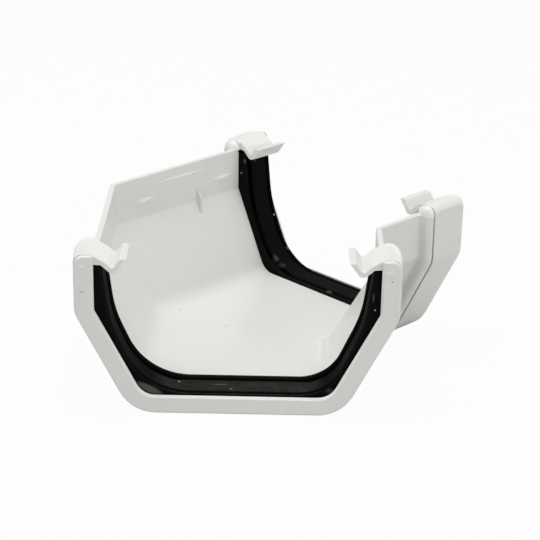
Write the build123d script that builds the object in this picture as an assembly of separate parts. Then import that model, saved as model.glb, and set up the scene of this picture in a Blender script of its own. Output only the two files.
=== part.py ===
from build123d import *
import math
import os

# Gutter angle, 45 degree turn, for a half-hexagon gutter 114 mm wide.
# The first leg's mouth faces -Y and the second leg runs 45 degrees off the +Y direction.
# The origin is where the two gutter centrelines cross, on the outside of the channel floor.

os.makedirs("parts", exist_ok=True)

# Channel section, measured on its inside
half_width = 57.5
bend_height = 37.5
floor_half_width = 38.3
channel_height = 57.0
wall = 2.3
floor_corner_radius = 8.3
bend_corner_radius = 3.0

# Legs
turn_angle = 45.0
leg_length = 72.8

# Socket: depths are counted back from the mouth face, offsets out from the channel's inside
face_width = 7.9
flange_thickness = 1.4
flange_inset = 0.2
mouth_bevel = 0.8
flange_edge = 0.6
seal_groove_end = 19.9
groove_depth = 3.5
socket_wall = 2.3
socket_top = channel_height - 1.4

# Rim behind the strap
strap_rear = 20.0
seam_gap = 0.4
rim_thickness = 3.0
rim_round = 2.4
rim_foot_radius = 1.6

# Arch over the top of each side wall
arch_lift = 0.1
arch_corner = 0.9

# Strap
strap_proud = 0.5
strap_clearance = 0.15
front_gap = 0.25
strap_edge = 0.35

# Clip at each end of the strap: across from the wall's inside, up from the arch's centre
lip_inner = (-12.9, 2.4)
lip_outer = (-10.2, 2.4)
valley = (-7.3, -1.8)
slope_foot = (-3.9, 1.35)
vee_inner = (-8.5, -3.5)
vee_outer = (-6.2, -3.5)
under_step = (-2.7, -0.4)
clip_end = 19.0

# Crown of the strap over each wall: highest in the middle of its depth
crown_rise = 5.2
crown_shoulder = (3.3, 0.8)
crown_outer_radius = 4.9
crown_middle = 10.8
crown_curve = 42.0
shoulder_swell = 0.8
shoulder_curve = 50.0

# Seal
seal_clearance = 0.05
seal_base_offset = 0.9
seal_top = channel_height - 2.0
seal_front = 1.7
rear_ridge_width = 2.4
rear_ridge_edge = 0.7
middle_band = (5.0, 14.4)
middle_band_drop = 0.7
middle_band_edge = 0.5
front_ridge = (2.5, 3.8)
front_ridge_drop = 0.9
front_ridge_edge = 0.3
crest_top = (half_width - 3.1, channel_height)
crest_bend = (half_width - 6.6, bend_height - 7.3)
crest_floor = (floor_half_width - 0.5, 0.9)
crest_bend_radius = 50.0
front_crest_radii = (19.0, 28.0)
side_crest_radii = (27.0, 27.0)

# Small marks on the inside of the second leg's far wall
guide_line_depths = (41.3, 72.7)
guide_line_drop = 5.0
tick_depths = ((24.6, 36.2), (72.8, 83.6))
tick_drop = 11.4
tick_thickness = 0.9
tick_proud = 0.6
rib_depth = 46.8
rib_thickness = 0.9

# Small bars on the front mouth face: across from the wall's inside, height from the arch's centre
right_bar = (1.0, 5.4, -0.7)
left_bars = ((4.2, 5.5, 0.6), (4.2, 5.6, -9.5))
face_bar_thickness = 0.7
face_bar_proud = 0.35

# Round gate mark in the middle of the floor
gate_radius = 1.7
gate_proud = 0.15

arch_centre_height = channel_height + arch_lift
arch_middle = half_width + face_width / 2
flange_rear = flange_thickness
strap_front = flange_rear + front_gap
rim_front = strap_rear + seam_gap
rim_rear = rim_front + rim_thickness
socket_outside = groove_depth + socket_wall
strap_inside = socket_outside + strap_clearance
strap_outside = face_width + strap_proud
seal_rear = seal_groove_end - seal_clearance * 2
mitre_side = math.tan(math.radians(turn_angle / 2))


def flat(point):
    """Point of the section, across and up, placed in space."""
    return (point[0], 0, point[1])


def unit(origin, target):
    length = math.dist(origin, target)
    return ((target[0] - origin[0]) / length, (target[1] - origin[1]) / length)


def meet(first, first_out, second, second_out, distance):
    """Crossing point of two section lines that are both moved out by a distance."""
    a = first_out[0] * first[0] + first_out[1] * first[1] + distance
    b = second_out[0] * second[0] + second_out[1] * second[1] + distance
    cross = first_out[0] * second_out[1] - first_out[1] * second_out[0]
    x = (a * second_out[1] - b * first_out[1]) / cross
    z = (first_out[0] * b - second_out[0] * a) / cross
    return (x, z)


def right_half(top, bend, floor, distance, height):
    """Right half of a U section moved out by a distance, cut off at a height."""
    down = unit(top, bend)
    slope = unit(bend, floor)
    down_out = (-down[1], down[0])
    slope_out = (-slope[1], slope[0])
    floor_out = (0, -1)
    level = meet(top, down_out, (0, height), (0, 1), distance)
    start = (level[0] + down_out[1] / down_out[0] * distance, height)
    middle = meet(top, down_out, bend, slope_out, distance)
    end = meet(bend, slope_out, floor, floor_out, distance)
    return [start, middle, end]


def channel_half(offset, height):
    return right_half(
        (half_width, channel_height),
        (half_width, bend_height),
        (floor_half_width, 0),
        offset,
        height,
    )


def mirrored(points):
    return [(-x, z) for x, z in reversed(points)]


def rounded(points, radii):
    """Edges of a chain of straight lines with rounded corners."""
    edges = []
    start = points[0]
    for index in range(1, len(points) - 1):
        corner = points[index]
        radius = radii[index]
        if radius == 0:
            edges.append(Line(flat(start), flat(corner)))
            start = corner
            continue
        back = unit(corner, points[index - 1])
        ahead = unit(corner, points[index + 1])
        opening = math.acos(back[0] * ahead[0] + back[1] * ahead[1])
        reach = radius / math.tan(opening / 2)
        depth = radius / math.sin(opening / 2) - radius
        inward = unit((0, 0), (back[0] + ahead[0], back[1] + ahead[1]))
        first = (corner[0] + back[0] * reach, corner[1] + back[1] * reach)
        middle = (corner[0] + inward[0] * depth, corner[1] + inward[1] * depth)
        last = (corner[0] + ahead[0] * reach, corner[1] + ahead[1] * reach)
        if math.dist(start, first) > 1e-6:
            edges.append(Line(flat(start), flat(first)))
        edges.append(ThreePointArc(flat(first), flat(middle), flat(last)))
        start = last
    if math.dist(start, points[-1]) > 1e-6:
        edges.append(Line(flat(start), flat(points[-1])))
    return edges


def u_path(right, bend_radius, floor_radii):
    """Edges of a whole U from its right top to its left top."""
    points = right + mirrored(right)
    return rounded(points, [0, bend_radius, floor_radii[0], floor_radii[1], bend_radius, 0])


def channel_path(offset, height):
    floor_radius = floor_corner_radius + offset
    return u_path(channel_half(offset, height), bend_corner_radius + offset, (floor_radius, floor_radius))


def crest_path(outward, floor_radii):
    """The seal's rounder inner path, with its right and left floor radius."""
    right = right_half(crest_top, crest_bend, crest_floor, outward, seal_top)
    radii = [radius + outward for radius in floor_radii]
    return u_path(right, crest_bend_radius + outward, radii)


def slab(edges, front, rear):
    """Solid with the section drawn by the edges, from one depth to another."""
    face = Face(Wire(edges))
    return Pos(0, front - leg_length, 0) * extrude(face, amount=rear - front, dir=(0, 1, 0))


def u_band(inner, outer, height, front, rear):
    """U shaped wall between two offsets with flat tops."""
    near = channel_half(inner, height)[0]
    far = channel_half(outer, height)[0]
    edges = channel_path(inner, height) + channel_path(outer, height)
    edges.append(Line(flat(near), flat(far)))
    edges.append(Line((-near[0], 0, near[1]), (-far[0], 0, far[1])))
    return slab(edges, front, rear)


def outer_arch(side):
    """Quarter round from the wall's outside up to the peak of the arch."""
    radius = face_width / 2
    corner = radius * math.sqrt(0.5)
    far = (side * (half_width + face_width), 0, arch_centre_height)
    middle = (side * (arch_middle + corner), 0, arch_centre_height + corner)
    top = (side * arch_middle, 0, arch_centre_height + radius)
    return ThreePointArc(far, middle, top)


def flat_topped_band(front, rear):
    """U shaped wall of the flange: rounded outside at the top, level on to a small inner corner."""
    inner = half_width + flange_inset
    peak = arch_centre_height + face_width / 2
    edges = channel_path(flange_inset, peak - arch_corner)
    edges += channel_path(face_width, arch_centre_height)
    for side in (1, -1):
        top = (side * arch_middle, 0, peak)
        level_end = (side * (inner + arch_corner), 0, peak)
        near = (side * inner, 0, peak - arch_corner)
        edges.append(outer_arch(side))
        edges.append(Line(top, level_end))
        edges.append(Line(level_end, near))
    return slab(edges, front, rear)


def to_segment(point, start, end):
    """Distance from a section point to a straight piece of the section."""
    run = (end[0] - start[0], end[1] - start[1])
    along = (point[0] - start[0]) * run[0] + (point[1] - start[1]) * run[1]
    share = min(1, max(0, along / (run[0] * run[0] + run[1] * run[1])))
    return math.dist(point, (start[0] + share * run[0], start[1] + share * run[1]))


def offset_of(point):
    """How far a point lies outside the channel's round-cornered inside."""
    chain = channel_half(-floor_corner_radius, arch_centre_height + 20)
    chain.append((0, floor_corner_radius))
    place = (abs(point.X), point.Z)
    reach = min(to_segment(place, start, end) for start, end in zip(chain, chain[1:]))
    return reach - floor_corner_radius


def edges_at(solid, depth, low, high):
    """Edges of the section at one depth that lie between two offsets, arches included."""
    place = depth - leg_length
    found = ShapeList()
    for edge in solid.edges().filter_by_position(Axis.Y, place - 0.01, place + 0.01):
        if low < offset_of(edge @ 0.5) < high:
            found.append(edge)
    return found


def flange():
    """Flat front face with a bevelled mouth."""
    body = flat_topped_band(0, flange_thickness)
    body = chamfer(edges_at(body, 0, -3, flange_inset + 0.1), mouth_bevel)
    outer = edges_at(body, 0, 3, 20)
    return chamfer(outer, flange_edge)


def turned(side, height):
    """Solid turned about an axis along the right wall, cut off level at the bottom."""
    path = [(0, side[0][1])] + side + [(0, side[-1][1])]
    points = [(arch_middle + reach, depth - leg_length, height) for reach, depth in path]
    outline = Polyline(points, close=True)
    axis = Axis((arch_middle, 0, height), (0, 1, 0))
    solid = revolve(Face(Wire(outline.edges())), axis)
    block = Box(40, 80, 40, align=(Align.CENTER, Align.CENTER, Align.MIN))
    return solid & Pos(arch_middle, -leg_length, arch_centre_height) * block


def rounded_end(reach, rear, along, inward):
    """Points of a quarter round that ends a turned solid."""
    points = []
    for angle in (0, 22, 45, 68, 90):
        turn = math.radians(angle)
        points.append((reach - inward * (1 - math.cos(turn)), rear - along * (1 - math.sin(turn))))
    return points


def rim_arch():
    """Rounded top of the rim over the right wall."""
    side = [(face_width / 2, rim_front)] + rounded_end(face_width / 2, rim_rear, rim_round, rim_round)
    return turned(side, arch_centre_height)


def on_both_walls(solid):
    return solid + mirror(solid, about=Plane.YZ)


def rim():
    """Raised rim behind the strap, rounded at the rear like a dome over each wall."""
    body = u_band(0, face_width, arch_centre_height, rim_front, rim_rear)
    outer = edges_at(body, rim_rear, 3, 20).filter_by(lambda edge: (edge @ 0.5).Z < arch_centre_height - 0.01)
    return fillet(outer, rim_round) + on_both_walls(rim_arch())


def socket():
    """The part of a leg that takes the gutter's end, without its strap and seal."""
    body = u_band(groove_depth, socket_outside, socket_top, flange_thickness, rim_front)
    body += u_band(0, groove_depth, socket_top, seal_groove_end, rim_front)
    return body + flange() + rim()


def trough():
    """Plain channel that runs from the rim past the mitre."""
    long_end = leg_length + half_width * mitre_side + 20
    return u_band(0, wall, channel_height, rim_front, long_end)


def mitre_plane():
    """Upright plane through the sharp corner where the two legs meet."""
    turn = math.radians(turn_angle / 2)
    return Plane(origin=(0, 0, 0), x_dir=(0, 0, 1), z_dir=(math.sin(turn), math.cos(turn), 0))


def first_leg():
    leg = trough() + socket()
    foot = edges_at(leg, rim_rear, wall - 0.4, wall + 0.3)
    foot = foot.filter_by(lambda edge: (edge @ 0.5).Z < channel_height - 0.05)
    leg = fillet(foot, rim_foot_radius)
    return split(leg, mitre_plane(), keep=Keep.BOTTOM)


def second_leg_place():
    """Turn from the first leg to the second."""
    return Rot(0, 0, 180 - turn_angle)


def bar(depth_from, depth_to, height_from, height_to, thickness, proud):
    """Thin raised bar on the inside of the first leg's right wall."""
    run = depth_to - depth_from
    rise = height_to - height_from
    length = math.hypot(run, rise)
    solid = Box(proud + 0.4, length, thickness)
    solid = chamfer(solid.edges().filter_by(Axis.X), thickness * 0.3)
    solid = Rot(math.degrees(math.atan2(rise, run)), 0, 0) * solid
    middle = (depth_from + depth_to) / 2 - leg_length
    return Pos(half_width - (proud - 0.4) / 2, middle, (height_from + height_to) / 2) * solid


def bend_rib():
    """Small three-cornered rib across the bend line."""
    shape = [(0.5, 6.7), (-3.2, 2.1), (-3.0, -6.1), (0.7, -0.9)]
    points = [(half_width + across, bend_height + up) for across, up in shape]
    edges = rounded(points + [points[0]], [0, 0.6, 0, 0, 0])
    return slab(edges, rib_depth - rib_thickness / 2, rib_depth + rib_thickness / 2)


def wall_marks():
    """Plain moulded marks on the second leg's far wall."""
    line_height = channel_height - guide_line_drop
    tick_height = channel_height - tick_drop
    marks = bar(guide_line_depths[0], guide_line_depths[1], line_height, line_height, 0.5, 0.2)
    for start, end in tick_depths:
        third = (end - start) / 3
        marks += bar(start, start + third * 1.2, tick_height, tick_height + 0.2, tick_thickness, tick_proud)
        marks += bar(start + third, end - third, tick_height + 0.1, tick_height - 0.9, tick_thickness, tick_proud + 0.2)
        marks += bar(end - third * 1.2, end, tick_height - 0.9, tick_height - 1.1, tick_thickness, tick_proud)
    marks += bend_rib()
    return second_leg_place() * marks


def face_bar(side, start, end, rise):
    """Thin raised bar near the top of the mouth face, on one side."""
    solid = Box(end - start, face_bar_proud + 0.4, face_bar_thickness)
    solid = chamfer(solid.edges().filter_by(Axis.Y), face_bar_thickness * 0.3)
    across = side * (half_width + (start + end) / 2)
    return Pos(across, -leg_length - (face_bar_proud - 0.4) / 2, arch_centre_height + rise) * solid


def face_marks():
    """Plain moulded bars on the front mouth face."""
    marks = face_bar(1, right_bar[0], right_bar[1], right_bar[2])
    for start, end, rise in left_bars:
        marks += face_bar(-1, start, end, rise)
    return marks


def gate_mark():
    """Flat round mark where the moulding was filled."""
    disc = Cylinder(gate_radius, gate_proud + 0.5, align=(Align.CENTER, Align.CENTER, Align.MAX))
    return Pos(0, 0, gate_proud) * disc


def gutter_body():
    leg = first_leg()
    body = leg + mirror(leg, about=mitre_plane())
    body += wall_marks() + face_marks() + gate_mark()
    return body.clean()


def clip_point(place):
    return (half_width + place[0], arch_centre_height + place[1])


def strap_section():
    """Closed outline of the strap, from one clip's lip round to the other."""
    outside = channel_half(strap_outside, arch_centre_height)
    inside = channel_half(strap_inside, arch_centre_height)
    crown_top = arch_centre_height + crown_rise
    over = [
        clip_point(lip_inner),
        clip_point(lip_outer),
        clip_point(valley),
        clip_point(slope_foot),
        (half_width + crown_shoulder[0], crown_top),
        (outside[0][0], crown_top),
    ]
    right_out = over + outside[1:]
    bend_out = bend_corner_radius + strap_outside
    floor_out = floor_corner_radius + strap_outside
    right_out_radii = [0, 0.5, 1.0, 1.5, crown_shoulder[1], crown_outer_radius, bend_out, floor_out]
    under = [clip_point(vee_inner), clip_point(vee_outer), clip_point(under_step)]
    back = under + inside
    bend_in = bend_corner_radius + strap_inside
    floor_in = floor_corner_radius + strap_inside
    back_radii = [0.7, 0.7, 0.6, 0, bend_in, floor_in]
    points = right_out + mirrored(right_out) + [(-x, z) for x, z in back] + list(reversed(back))
    radii = right_out_radii + list(reversed(right_out_radii)) + back_radii + list(reversed(back_radii))
    points.append(points[0])
    radii.append(0)
    return rounded(points, radii)


def crown_height(depth):
    """Height of the strap's crown at a depth."""
    run = depth - crown_middle
    return arch_centre_height + crown_rise - crown_curve + math.sqrt(crown_curve * crown_curve - run * run)


def crown_limit():
    """Large drum across the leg whose top is the crown's gentle curve."""
    drum = Rot(0, 90, 0) * Cylinder(crown_curve, half_width * 4)
    return Pos(0, crown_middle - leg_length, arch_centre_height + crown_rise - crown_curve) * drum


def shoulder():
    """Swelling of the crown's outer side, widest in the middle of its depth."""
    outer = half_width + strap_outside + shoulder_swell
    inner = half_width + face_width / 2
    top = arch_centre_height + crown_rise - 0.05
    points = [(inner, arch_centre_height), (inner, top), (outer, top), (outer, arch_centre_height)]
    edges = rounded(points + [points[0]], [0, 0, crown_outer_radius, 0, 0])
    block = slab(edges, strap_front + strap_edge, strap_rear - strap_edge)
    drum = Cylinder(shoulder_curve, 200)
    block = block & Pos(outer - shoulder_curve, crown_middle - leg_length, 0) * drum
    return block & Pos(0, 0, -0.05) * crown_limit()


def strap():
    """Strap round the outside of a socket that ends in a springy clip over each wall."""
    body = slab(strap_section(), strap_front, strap_rear) & crown_limit()
    body = chamfer(outer_edges(body, strap_front) + outer_edges(body, strap_rear), strap_edge)
    return body + on_both_walls(shoulder()) - on_both_walls(clip_rear())


def outer_edges(body, depth):
    """The strap's outer edges at one end, with those over the crown."""
    found = edges_at(body, depth, strap_inside + 0.3, strap_outside + 0.1)
    over = edges_at(body, depth, slope_foot[0], strap_outside + 0.1)
    over = over.filter_by(lambda edge: (edge @ 0.5).Z > arch_centre_height + slope_foot[1] + 0.5)
    return ShapeList(set(found + over))


def clip_rear():
    """The clip's inner part ends a little before the strap's rear edge."""
    block = Box(24, 4, 24, align=(Align.MAX, Align.MIN, Align.CENTER))
    return Pos(half_width - 0.3, clip_end - leg_length, arch_centre_height) * block


def pips():
    """Two tiny moulding pips on the second strap."""
    top = crown_height(3.2)
    peak = Pos(-arch_middle, 3.2 - leg_length, top) * Cylinder(0.6, 1.2)
    height = arch_centre_height + 0.5
    side = Pos(-(half_width + strap_outside), 2.8 - leg_length, height) * Rot(0, 90, 0) * Cylinder(0.45, 1.0)
    return peak + side


def ridge(front, rear, outward, edge, floor_radii):
    """Raised band of the seal that follows the rounder inner path."""
    inner = right_half(crest_top, crest_bend, crest_floor, outward, seal_top)[0]
    outer = channel_half(groove_depth - 1.0, seal_top)[0]
    edges = crest_path(outward, floor_radii) + channel_path(groove_depth - 1.0, seal_top)
    edges.append(Line(flat(inner), flat(outer)))
    edges.append(Line((-inner[0], 0, inner[1]), (-outer[0], 0, outer[1])))
    body = slab(edges, front, rear)
    near = edges_at(body, front, -20, seal_base_offset) + edges_at(body, rear, -20, seal_base_offset)
    near = near.filter_by(lambda line: (line @ 0.5).Z < seal_top - 0.01)
    return chamfer(near, edge)


def seal(floor_radii):
    """Rubber strip pressed into the groove behind the flange."""
    body = u_band(seal_base_offset, groove_depth - seal_clearance, seal_top, seal_front, seal_rear)
    body += ridge(seal_rear - rear_ridge_width, seal_rear, 0, rear_ridge_edge, floor_radii)
    body += ridge(middle_band[0], middle_band[1], middle_band_drop, middle_band_edge, floor_radii)
    body += ridge(front_ridge[0], front_ridge[1], front_ridge_drop, front_ridge_edge, floor_radii)
    return body.clean()


def lifted(shape):
    """The model is drawn from the floor's inside, and stands with its outside at zero."""
    return Pos(0, 0, wall) * shape


body = lifted(gutter_body())
first_strap = lifted(strap())
second_strap = lifted(second_leg_place() * (strap() + pips()))
first_seal = lifted(seal(front_crest_radii))
second_seal = lifted(second_leg_place() * seal(side_crest_radii))

export_step(body, "parts/gutter_angle_body.step")
export_step(first_strap, "parts/strap_front.step")
export_step(second_strap, "parts/strap_side.step")
export_step(first_seal, "parts/seal_front.step")
export_step(second_seal, "parts/seal_side.step")
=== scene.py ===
import math

import bmesh
import bpy
from mathutils import Matrix, Vector


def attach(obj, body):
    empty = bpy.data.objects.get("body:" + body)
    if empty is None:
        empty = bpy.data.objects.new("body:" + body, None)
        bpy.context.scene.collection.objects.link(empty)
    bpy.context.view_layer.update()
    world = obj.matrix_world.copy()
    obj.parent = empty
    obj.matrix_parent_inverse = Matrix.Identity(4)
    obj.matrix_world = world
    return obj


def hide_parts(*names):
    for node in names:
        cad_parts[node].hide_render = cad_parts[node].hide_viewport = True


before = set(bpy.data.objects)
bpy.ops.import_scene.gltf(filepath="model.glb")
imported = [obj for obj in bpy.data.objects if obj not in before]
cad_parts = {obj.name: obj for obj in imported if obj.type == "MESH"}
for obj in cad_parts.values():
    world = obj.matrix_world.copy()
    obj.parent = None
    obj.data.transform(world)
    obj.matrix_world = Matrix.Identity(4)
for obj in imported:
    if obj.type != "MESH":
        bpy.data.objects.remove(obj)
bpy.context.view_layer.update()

MM = 0.001


def linear(hex_colour):
    """sRGB hex to linear red, green, blue and alpha."""
    channels = []
    for start in (1, 3, 5):
        value = int(hex_colour[start:start + 2], 16) / 255
        channels.append(value / 12.92 if value <= 0.04045 else ((value + 0.055) / 1.055) ** 2.4)
    return (*channels, 1.0)


def add(tree, kind, inputs=None, **settings):
    """Adds a node with its settings. An input that is a socket is linked, and a plain value is set."""
    node = tree.nodes.new(kind)
    for name, value in settings.items():
        setattr(node, name, value)
    for name, value in (inputs or {}).items():
        if isinstance(value, bpy.types.NodeSocket):
            tree.links.new(value, node.inputs[name])
        else:
            node.inputs[name].default_value = value
    return node


def new_material(name):
    material = bpy.data.materials.new(name)
    material.use_nodes = True
    material.node_tree.nodes.clear()
    return material


def spot(tree, place, centre, reach, turn, tilt=0.0):
    """Mask of a small soft-edged mark: centre and half lengths in mm, turn about Z, tilt about Y."""
    local = add(tree, "ShaderNodeMapping", {
        "Vector": place,
        "Location": Vector(centre) * MM,
        "Rotation": (0, math.radians(tilt), math.radians(turn)),
        "Scale": Vector(reach) * MM,
    }, vector_type="TEXTURE")
    distance = add(tree, "ShaderNodeVectorMath", {0: local.outputs["Vector"]}, operation="LENGTH")
    mask = add(tree, "ShaderNodeMapRange", {
        "Value": distance.outputs["Value"], "From Min": 1.0, "From Max": 0.4,
    }, interpolation_type="SMOOTHSTEP")
    return mask.outputs["Result"]


def marked(tree, place, colour, marks):
    """Lays small marks over a colour: each has its own colour, strength, centre, reach, turn and tilt."""
    for mark_colour, strength, *form in marks:
        share = add(tree, "ShaderNodeMath", {
            0: spot(tree, place, *form), 1: strength}, operation="MULTIPLY")
        mixed = add(tree, "ShaderNodeMix", {
            "Factor": share.outputs["Value"], "A": colour, "B": linear(mark_colour)}, data_type="RGBA")
        colour = mixed.outputs["Result"]
    return colour


# Sizes of the patterns in the two materials, in mm
UPVC_CLOUD = 22
UPVC_RIPPLE = 9
UPVC_GRAIN = 0.5
RUBBER_CLOUD = 6
RUBBER_GRAIN = 0.6


def moulded_upvc(name, shade, marks):
    """White uPVC, injection moulded: a clean, semi-gloss white with a faint ripple in its highlights."""
    material = new_material(name)
    tree = material.node_tree
    place = add(tree, "ShaderNodeTexCoord").outputs["Object"]
    cloud = add(tree, "ShaderNodeTexNoise", {
        "Vector": place, "Scale": 1 / (UPVC_CLOUD * MM), "Detail": 3.0})
    tint = add(tree, "ShaderNodeMix", {
        "Factor": cloud.outputs["Fac"],
        "A": linear(shade[0]),
        "B": linear(shade[1]),
    }, data_type="RGBA")
    colour = marked(tree, place, tint.outputs["Result"], marks)
    ripple = add(tree, "ShaderNodeTexNoise", {
        "Vector": place, "Scale": 1 / (UPVC_RIPPLE * MM), "Detail": 1.0})
    grain = add(tree, "ShaderNodeTexNoise", {
        "Vector": place, "Scale": 1 / (UPVC_GRAIN * MM), "Detail": 2.0})
    bump_wide = add(tree, "ShaderNodeBump", {
        "Height": ripple.outputs["Fac"], "Strength": 0.25, "Distance": 0.15 * MM})
    bump = add(tree, "ShaderNodeBump", {
        "Height": grain.outputs["Fac"], "Strength": 0.10, "Distance": 0.02 * MM,
        "Normal": bump_wide.outputs["Normal"],
    })
    shader = add(tree, "ShaderNodeBsdfPrincipled", {
        "Base Color": colour,
        "Roughness": 0.28,
        "IOR": 1.54,
        "Normal": bump.outputs["Normal"],
    })
    add(tree, "ShaderNodeOutputMaterial", {"Surface": shader.outputs["BSDF"]})
    return material


def epdm_rubber(name, dust_and_sheen_level, marks):
    """Black EPDM rubber, moulded: a deep, dull black, made paler where it faces up by a little dusting and a
    painted sheen.
    """
    material = new_material(name)
    tree = material.node_tree
    place = add(tree, "ShaderNodeTexCoord").outputs["Object"]
    cloud = add(tree, "ShaderNodeTexNoise", {
        "Vector": place, "Scale": 1 / (RUBBER_CLOUD * MM), "Detail": 6.0, "Roughness": 0.7})
    normal = add(tree, "ShaderNodeNewGeometry").outputs["Normal"]
    facing = add(tree, "ShaderNodeSeparateXYZ", {"Vector": normal}).outputs["Z"]
    # Painted sheen with a little dusting: paler where the rubber faces up
    upward_dust_and_sheen = add(tree, "ShaderNodeMapRange", {
        "Value": facing, "From Min": 0.82, "From Max": 0.99, "To Min": 0.006, "To Max": dust_and_sheen_level,
    }, interpolation_type="SMOOTHSTEP")
    patches = add(tree, "ShaderNodeMapRange", {
        "Value": cloud.outputs["Fac"], "From Min": 0.3, "From Max": 0.75, "To Min": 0.5, "To Max": 1.6})
    dust_and_sheen = add(tree, "ShaderNodeMath", {
        0: upward_dust_and_sheen.outputs["Result"], 1: patches.outputs["Result"]}, operation="MULTIPLY")
    tint = add(tree, "ShaderNodeMix", {
        "Factor": dust_and_sheen.outputs["Value"],
        "A": linear("#0B0B0B"),
        "B": linear("#8A8783"),
    }, data_type="RGBA")
    colour = marked(tree, place, tint.outputs["Result"], marks)
    grain = add(tree, "ShaderNodeTexNoise", {
        "Vector": place, "Scale": 1 / (RUBBER_GRAIN * MM), "Detail": 2.0})
    bump = add(tree, "ShaderNodeBump", {
        "Height": grain.outputs["Fac"], "Strength": 0.2, "Distance": 0.03 * MM})
    shader = add(tree, "ShaderNodeBsdfPrincipled", {
        "Base Color": colour,
        "Roughness": 0.70,
        "IOR": 1.5,
        "Specular IOR Level": 0.03,
        "Normal": bump.outputs["Normal"],
    })
    add(tree, "ShaderNodeOutputMaterial", {"Surface": shader.outputs["BSDF"]})
    return material


def applied(piece):
    """Turns a piece's modifiers into its plain mesh."""
    bpy.context.view_layer.update()
    result = bpy.data.meshes.new_from_object(piece.evaluated_get(bpy.context.evaluated_depsgraph_get()))
    piece.modifiers.clear()
    piece.data = result
    result.name = piece.name


# The sockets' shape, in mm: across from the leg's centreline, back from its mouth, up from the trough's
# underside. The turns are about the upright axis and the arc step is in degrees.
LEG_LENGTH = 72.8
FRONT_TURN = 0.0
SIDE_TURN = math.radians(135)
ARCH_MIDDLE = 61.45
ARCH_CENTRE = 59.4
ARCH_RISE = 4.1
STRAP_REAR = 20.0
ARC_STEP = 6

# Crown of the strap: it swells up and sideways, most in the middle of its depth. The cut that shapes it
# stops just below the crown's foot, starts a hair outside the strap's side and reaches beyond the piece.
CROWN_FRONT = 0.6
CROWN_STEP = 0.87
CROWN_STEPS = 25
CROWN_MIDDLE = 10.8
CROWN_SWELL = 1.05
CROWN_INWARD = 4.0
STRAP_PROUD = 0.35
SIDE_SWELL = 0.8
SIDE_SWELL_BLEND = 2.4
FOOT_OUTWARD = 4.46
FOOT_DROP = 0.15
BEYOND = 70.0

# Rim behind the strap: the block that takes its plain top away, and the rounded end that takes its place
RIM_BLOCK_SIDES = (56.0, 67.0)
RIM_BLOCK_DEPTHS = (20.02, 24.5)
RIM_BLOCK_HEIGHTS = (59.35, 67.0)
DOME_STEP = 10
DOME_OUTWARD = 4.12
DOME_INWARD = 4.6
DOME_DEPTH = 3.3
DOME_TIP = 0.02
DOME_CLEARANCE = 0.05
DOME_ROOT = 0.4
SEAM_OPENING = 0.35
SEAM_START = 62.8
SEAM_BLEND = 1.6

# Two small bars on the left of the front face, lower than the solid's two, which are cut away: the heights
# of each pair, and the two sides, two depths and half height of the room for an old bar and of a new one
OLD_BAR_HEIGHTS = (60.0, 49.9)
OLD_BAR_ROOM = (-63.6, -61.2), (-0.6, 0.0), 0.6
BAR_HEIGHTS = (58.95, 48.15)
BAR_FORM = (-63.2, -61.3), (-0.35, 0.3), 0.35

# Two moulding pips on the side strap's near crown: place, and half lengths across, back and up
PIPS = (
    (-61.45, 3.2, 63.9, (0.7, 0.6, 0.5)),
    (-65.95, 2.8, 60.4, (0.4, 0.5, 0.5)),
)

# Clean-up of the copies: distances for merging in mm, and angles in degrees
SEAM_MERGE = 0.002
SLIVER_MERGE = 0.03
FLAT_ANGLE = 0.4
SHARP_ANGLE = 24


def smooth_share(value):
    """Share from 0 to 1 that starts and ends softly."""
    value = min(max(value, 0.0), 1.0)
    return value * value * (3 - 2 * value)


def in_leg(across, depth, height, turn):
    """Point of a leg's own frame as a place in the model, in metres."""
    return Matrix.Rotation(turn, 3, "Z") @ Vector((across, depth - LEG_LENGTH, height)) * MM


def lofted(name, loops, turn):
    """Closed mesh through a row of closed loops, with a face over each end."""
    work = bmesh.new()
    rows = [[work.verts.new(in_leg(*point, turn)) for point in loop] for loop in loops]
    for near, far in zip(rows, rows[1:]):
        for index in range(len(near)):
            following = (index + 1) % len(near)
            work.faces.new((near[index], near[following], far[following], far[index]))
    work.faces.new(reversed(rows[0]))
    work.faces.new(rows[-1])
    bmesh.ops.recalc_face_normals(work, faces=work.faces)
    mesh = bpy.data.meshes.new(name)
    work.to_mesh(mesh)
    work.free()
    return mesh


def combined(piece, tools, operation):
    """Cuts tools from a piece or joins them to it."""
    for mesh in tools:
        tool = bpy.data.objects.new(mesh.name, mesh)
        bpy.context.scene.collection.objects.link(tool)
        change = piece.modifiers.new("change", "BOOLEAN")
        change.operation = operation
        change.solver = "EXACT"
        change.object = tool
        applied(piece)
        bpy.data.objects.remove(tool)


def crown_trim(side, turn):
    """What lies outside the strap's crown, which swells like a barrel between its two ends."""
    loops = []
    for step in range(CROWN_STEPS):
        depth = CROWN_FRONT + step * CROWN_STEP
        swell = max(0.0, 1 - ((depth - CROWN_MIDDLE) / (STRAP_REAR - CROWN_MIDDLE)) ** 2)
        rise = ARCH_RISE + CROWN_SWELL * swell
        loop = [(side * (ARCH_MIDDLE - CROWN_INWARD), depth, ARCH_CENTRE + rise)]
        for angle in range(90, -1, -ARC_STEP):
            height = rise * math.sin(math.radians(angle))
            reach = ARCH_RISE + STRAP_PROUD + SIDE_SWELL * swell * smooth_share(height / SIDE_SWELL_BLEND)
            across = ARCH_MIDDLE + reach * math.cos(math.radians(angle))
            loop.append((side * across, depth, ARCH_CENTRE + height))
        loop.append((side * (ARCH_MIDDLE + FOOT_OUTWARD), depth, ARCH_CENTRE - FOOT_DROP))
        loop.append((side * BEYOND, depth, ARCH_CENTRE - FOOT_DROP))
        loop.append((side * BEYOND, depth, BEYOND))
        loop.append((side * (ARCH_MIDDLE - CROWN_INWARD), depth, BEYOND))
        loops.append(loop)
    return lofted("crown_trim", loops, turn)


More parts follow.
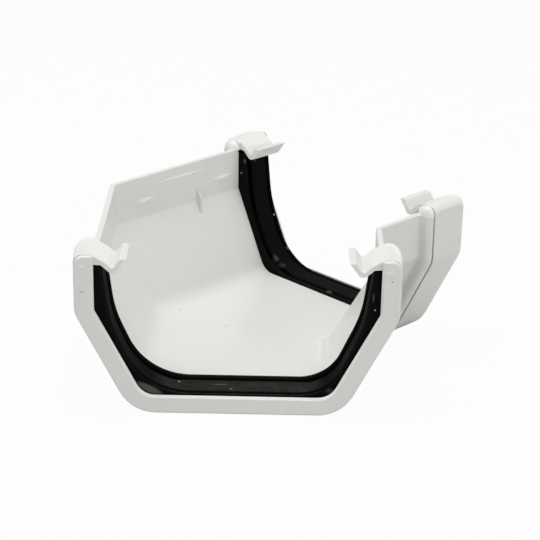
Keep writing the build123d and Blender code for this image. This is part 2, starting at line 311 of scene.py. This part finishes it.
def block(name, sides, depths, heights, turn):
    """Plain block in a leg's own frame: its two sides, its front and rear, and its bottom and top."""
    start, end = sides
    low, high = heights
    loops = [[(start, depth, low), (end, depth, low), (end, depth, high), (start, depth, high)]
             for depth in depths]
    return lofted(name, loops, turn)


def rim_top_trim(side, turn):
    """Block over the rim, down to the foot of its rounded top."""
    sides = [side * across for across in RIM_BLOCK_SIDES]
    return block("rim_top_trim", sides, RIM_BLOCK_DEPTHS, RIM_BLOCK_HEIGHTS, turn)


def face_bar(height, sides, depths, half):
    """Small bar on the front mouth's face, or the room round one, at a height."""
    return block("face_bar", sides, depths, (height - half, height + half), FRONT_TURN)


def rim_dome(side, turn):
    """Rounded end of the rim's top, level with the strap's crown and closed down to the wall behind it."""
    loops = []
    for latitude in range(0, 91, DOME_STEP):
        back = math.sin(math.radians(latitude))
        shrink = max(math.cos(math.radians(latitude)), DOME_TIP)
        loop = []
        for angle in range(0, 181, ARC_STEP):
            turned = math.cos(math.radians(angle))
            across = ARCH_MIDDLE + (DOME_OUTWARD if turned > 0 else DOME_INWARD) * turned * shrink
            opening = SEAM_OPENING * smooth_share((across - SEAM_START) / SEAM_BLEND)
            seam = opening if latitude == 0 else 0.0
            depth = STRAP_REAR + DOME_CLEARANCE + seam + DOME_DEPTH * back
            height = ARCH_RISE * math.sin(math.radians(angle)) * shrink
            loop.append((side * across, depth, ARCH_CENTRE + height))
        loop += [(*end[:2], ARCH_CENTRE - DOME_ROOT) for end in (loop[-1], loop[0])]
        loops.append(loop)
    return lofted("rim_dome", loops, turn)


def pip(across, depth, height, reach, turn):
    """Tiny moulding pip: a flattened ball."""
    loops = []
    for latitude in range(-80, 81, 20):
        level = math.sin(math.radians(latitude))
        width = math.cos(math.radians(latitude))
        loops.append([
            (across + reach[0] * width * math.cos(math.radians(angle)),
             depth + reach[1] * width * math.sin(math.radians(angle)),
             height + reach[2] * level) for angle in range(0, 360, 30)])
    return lofted("pip", loops, turn)


def softened(node, name, material, edge_round, cuts=(), joins=()):
    """Copy of a CAD node, cut and joined, with its facets merged and its edges rounded like a moulding's."""
    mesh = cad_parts[node].data.copy()
    piece = bpy.data.objects.new(name, mesh)
    bpy.context.scene.collection.objects.link(piece)
    work = bmesh.new()
    work.from_mesh(mesh)
    bmesh.ops.remove_doubles(work, verts=work.verts, dist=SEAM_MERGE * MM)
    work.to_mesh(mesh)
    work.free()
    combined(piece, cuts, "DIFFERENCE")
    combined(piece, joins, "UNION")
    mesh = piece.data
    work = bmesh.new()
    work.from_mesh(mesh)
    bmesh.ops.remove_doubles(work, verts=work.verts, dist=SLIVER_MERGE * MM)
    bmesh.ops.dissolve_limit(work, angle_limit=math.radians(FLAT_ANGLE), verts=work.verts, edges=work.edges)
    for face in work.faces:
        face.smooth = True
    work.to_mesh(mesh)
    work.free()
    bevel = piece.modifiers.new("edges", "BEVEL")
    bevel.limit_method = "ANGLE"
    bevel.angle_limit = math.radians(SHARP_ANGLE)
    bevel.width = edge_round * MM
    bevel.segments = 2
    bevel.use_clamp_overlap = True
    weigh = piece.modifiers.new("flats", "WEIGHTED_NORMAL")
    weigh.keep_sharp = True
    applied(piece)
    piece.data.materials.clear()
    piece.data.materials.append(material)
    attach(piece, "root")
    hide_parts(node)


# Small marks: colour, strength, centre and half lengths in mm, turn about Z and tilt about Y in degrees.
# On the body: two specks and a scratch; a painted highlight on a tick at the right of the face and on the
# upper bar, and painted shade on the lower bar; painted highlights along the wall's two raised ticks and its
# guide line.
BODY_SPECKS_AND_PAINTED_LIGHT = (
    ("#4A4038", 0.9, (61.8, -72.8, 54.85), (0.45, 1.0, 0.35), 0),
    ("#3A3430", 0.9, (-27.8, 15.35, 2.3), (0.5, 0.4, 1.0), 0),
    ("#6B625A", 0.7, (-6.5, -1.3, 2.3), (1.7, 0.25, 1.0), 4),
    # Painted highlight on a tick at the right of the face and on the upper bar, painted shade on the lower
    # bar
    ("#FFFFFF", 0.7, (60.7, -73.0, 58.7), (3.0, 0.6, 0.5), 0),
    ("#FFFFFF", 0.7, (-62.2, -73.0, 58.95), (1.6, 0.6, 0.5), 0),
    ("#9A9492", 0.6, (-62.2, -73.0, 48.15), (1.6, 0.6, 0.5), 0),
    # Painted highlights along the wall's two raised ticks and its fine guide line
    ("#FFFFFF", 0.7, (-44.8, 36.3, 48.2), (6.4, 1.1, 1.0), 45),
    ("#FFFFFF", 0.7, (-10.7, 70.4, 48.2), (6.4, 1.1, 1.0), 45),
    ("#FFFFFF", 0.6, (-29.7, 51.5, 54.6), (17.5, 0.9, 0.7), 45),
)

# Painted shade: a dark line along each strap's rear edge, all the way round, where the seam between strap
# and body lies in shadow
STRAP_SEAM_SHADE = (
    ("#6E665E", 0.8, (0.0, -52.8, 30.0), (110.0, 0.45, 60.0), 0),
    ("#6E665E", 0.8, (37.3, 37.3, 30.0), (110.0, 0.45, 60.0), -45),
)

# Dust, specks, smears and scratches; on the front seal also a pale grey patch in each lower corner
SEAL_FRONT_MARKS = (
    ("#5E5A56", 0.95, (-36.2, -70.3, 4.2), (8.6, 2.0, 2.3), 0, 25),
    ("#4C4945", 0.60, (38.6, -70.3, 4.8), (2.4, 2.0, 1.6), 0),
    ("#D8D6D2", 0.80, (55.5, -70.3, 41.4), (0.45, 0.6, 0.45), 0),
    ("#8A8783", 0.45, (54.7, -69.0, 46.8), (0.6, 2.2, 3.4), 0),
    ("#C8C6C2", 0.90, (-24.2, -60.2, 2.9), (0.5, 0.5, 1.0), 0),
    ("#8A8783", 0.40, (-6.8, -61.5, 2.5), (4.2, 0.4, 1.0), 2),
    ("#A8A6A2", 0.45, (-2.4, -65.5, 2.5), (0.35, 1.1, 1.0), -30),
)
SEAL_SIDE_MARKS = (
    ("#B0AEAA", 0.80, (-1.8, 76.8, 47.9), (0.6, 0.6, 0.6), 0),
    ("#8A8783", 0.40, (-0.2, 76.0, 54.2), (0.6, 0.6, 1.6), 0),
    ("#8A8783", 0.35, (4.6, 81.3, 53.0), (0.8, 0.8, 0.8), 0),
    ("#F0EEEA", 1.00, (14.2, 83.3, 24.4), (0.75, 0.75, 0.6), 0),
    ("#8A8783", 0.40, (21.2, 76.6, 9.5), (1.8, 1.8, 1.0), 0),
    ("#7A7773", 0.32, (15.2, 67.4, 7.4), (2.4, 2.4, 3.0), 0),
    ("#7A7773", 0.30, (18.2, 66.0, 4.6), (3.4, 2.2, 1.6), -40),
    ("#8A8783", 0.40, (41.1, 41.4, 1.6), (2.4, 0.9, 0.8), -45),
)

# The white's two shades, how pale the rubber is made where it faces up, by dusting and a painted sheen
# together, and the rounding of edges in mm
UPVC_SHADES = ("#E6E5E1", "#E9E8E4")
FRONT_DUST_AND_SHEEN = 0.08
SIDE_DUST_AND_SHEEN = 0.015
PLASTIC_EDGE = 0.15
RUBBER_EDGE = 0.2

body_white = moulded_upvc("moulded_uPVC_body", UPVC_SHADES, BODY_SPECKS_AND_PAINTED_LIGHT)
strap_white = moulded_upvc("moulded_uPVC_strap", UPVC_SHADES, STRAP_SEAM_SHADE)
front_rubber = epdm_rubber("EPDM_rubber_front", FRONT_DUST_AND_SHEEN, SEAL_FRONT_MARKS)
side_rubber = epdm_rubber("EPDM_rubber_side", SIDE_DUST_AND_SHEEN, SEAL_SIDE_MARKS)

corners = [(side, turn) for turn in (FRONT_TURN, SIDE_TURN) for side in (1, -1)]
softened("gutter_angle_body", "gutter_moulding", body_white, PLASTIC_EDGE,
         [rim_top_trim(*corner) for corner in corners]
         + [face_bar(height, *OLD_BAR_ROOM) for height in OLD_BAR_HEIGHTS],
         [rim_dome(*corner) for corner in corners]
         + [face_bar(height, *BAR_FORM) for height in BAR_HEIGHTS])
softened("strap_front", "front_strap_moulding", strap_white, PLASTIC_EDGE,
         [crown_trim(*corner) for corner in corners[:2]])
softened("strap_side", "side_strap_moulding", strap_white, PLASTIC_EDGE,
         [crown_trim(*corner) for corner in corners[2:]],
         [pip(*form, SIDE_TURN) for form in PIPS])
softened("seal_front", "front_seal_strip", front_rubber, RUBBER_EDGE)
softened("seal_side", "side_seal_strip", side_rubber, RUBBER_EDGE)


def camera():
    """Looks down on the front mouth from about three quarters of a metre away, as the photograph does."""
    data = bpy.data.cameras.new("camera")
    data.sensor_fit = "HORIZONTAL"
    data.sensor_width = 36.0
    data.lens = 114.27
    data.clip_start = 0.01
    camera_object = bpy.data.objects.new("camera", data)
    bpy.context.scene.collection.objects.link(camera_object)
    place = Vector((12.85, -703.57, 317.9)) * MM
    look_down = math.radians(22.31)
    roll = math.radians(1.12)
    turn = Matrix.Rotation(math.radians(90) - look_down, 4, "X") @ Matrix.Rotation(roll, 4, "Z")
    camera_object.matrix_world = Matrix.Translation(place) @ turn
    bpy.context.scene.camera = camera_object


def area_light(name, place, target, size, power):
    data = bpy.data.lights.new(name, "AREA")
    data.shape = "RECTANGLE"
    data.size, data.size_y = size
    data.energy = power
    light = bpy.data.objects.new(name, data)
    bpy.context.scene.collection.objects.link(light)
    light.location = Vector(place)
    light.rotation_euler = (Vector(target) - Vector(place)).to_track_quat("-Z", "Y").to_euler()


# Soft lamps: name, place and target in metres, width and height in metres, power in watts
LAMPS = (
    ("overhead", (0.0, 0.0, 1.3), (0, 0, 0), (1.0, 1.0), 11.8),
    ("left_high", (-0.8, -0.1, 1.2), (0, 0, 0.02), (0.8, 0.8), 5.6),
    ("front_right", (1.0, -1.0, 0.8), (0, 0, 0.02), (0.8, 0.8), 5.2),
    ("back_right", (0.8, 1.0, 0.9), (0, 0, 0.02), (0.8, 0.8), 1.2),
)

# Brightness of the surroundings that light the object, at the horizon and overhead. The camera sees white.
HORIZON_LEVEL = 1.3
ZENITH_LEVEL = 0.03

# The floor lies at the straps' underside, in mm, and reaches 3 m each way
UNDERSIDE = -6.1
FLOOR_REACH = 3.0

# How much of the floor's look is plain white to the camera. The rest shows the soft shadow.
FLOOR_WHITENESS = 0.96


def studio():
    """Pale floor, white backdrop and soft lamps."""
    mesh = bpy.data.meshes.new("floor")
    floor_corners = [(side * FLOOR_REACH, end * FLOOR_REACH, UNDERSIDE * MM)
                     for side, end in ((-1, -1), (1, -1), (1, 1), (-1, 1))]
    mesh.from_pydata(floor_corners, [], [(0, 1, 2, 3)])
    floor = bpy.data.objects.new("floor", mesh)
    bpy.context.scene.collection.objects.link(floor)
    paper = new_material("white_paper_floor")
    tree = paper.node_tree
    seen = add(tree, "ShaderNodeLightPath").outputs["Is Camera Ray"]
    share = add(tree, "ShaderNodeMath", {0: seen, 1: FLOOR_WHITENESS}, operation="MULTIPLY")
    matt = add(tree, "ShaderNodeBsdfDiffuse", {"Color": linear("#CACACA")})
    glow = add(tree, "ShaderNodeEmission", {"Color": (1, 1, 1, 1), "Strength": 1.0})
    mixed = add(tree, "ShaderNodeMixShader", {
        "Fac": share.outputs["Value"], 1: matt.outputs["BSDF"], 2: glow.outputs["Emission"]})
    add(tree, "ShaderNodeOutputMaterial", {"Surface": mixed.outputs["Shader"]})
    mesh.materials.append(paper)

    world = bpy.data.worlds.new("studio")
    bpy.context.scene.world = world
    world.use_nodes = True
    tree = world.node_tree
    tree.nodes.clear()
    seen = add(tree, "ShaderNodeLightPath").outputs["Is Camera Ray"]
    direction = add(tree, "ShaderNodeTexCoord").outputs["Generated"]
    height = add(tree, "ShaderNodeSeparateXYZ", {"Vector": direction}).outputs["Z"]
    rise = add(tree, "ShaderNodeMapRange", {
        "Value": height, "From Min": 0.05, "From Max": 0.5,
        "To Min": HORIZON_LEVEL, "To Max": ZENITH_LEVEL}, interpolation_type="SMOOTHSTEP")
    level = add(tree, "ShaderNodeMapRange", {
        "Value": seen, "To Min": rise.outputs["Result"], "To Max": 1.0})
    glow = add(tree, "ShaderNodeBackground", {"Color": (1, 1, 1, 1), "Strength": level.outputs["Result"]})
    add(tree, "ShaderNodeOutputWorld", {"Surface": glow.outputs["Background"]})

    for name, place, target, size, power in LAMPS:
        area_light(name, place, target, size, power)


camera()
studio()
bpy.context.scene.view_settings.view_transform = "Standard"
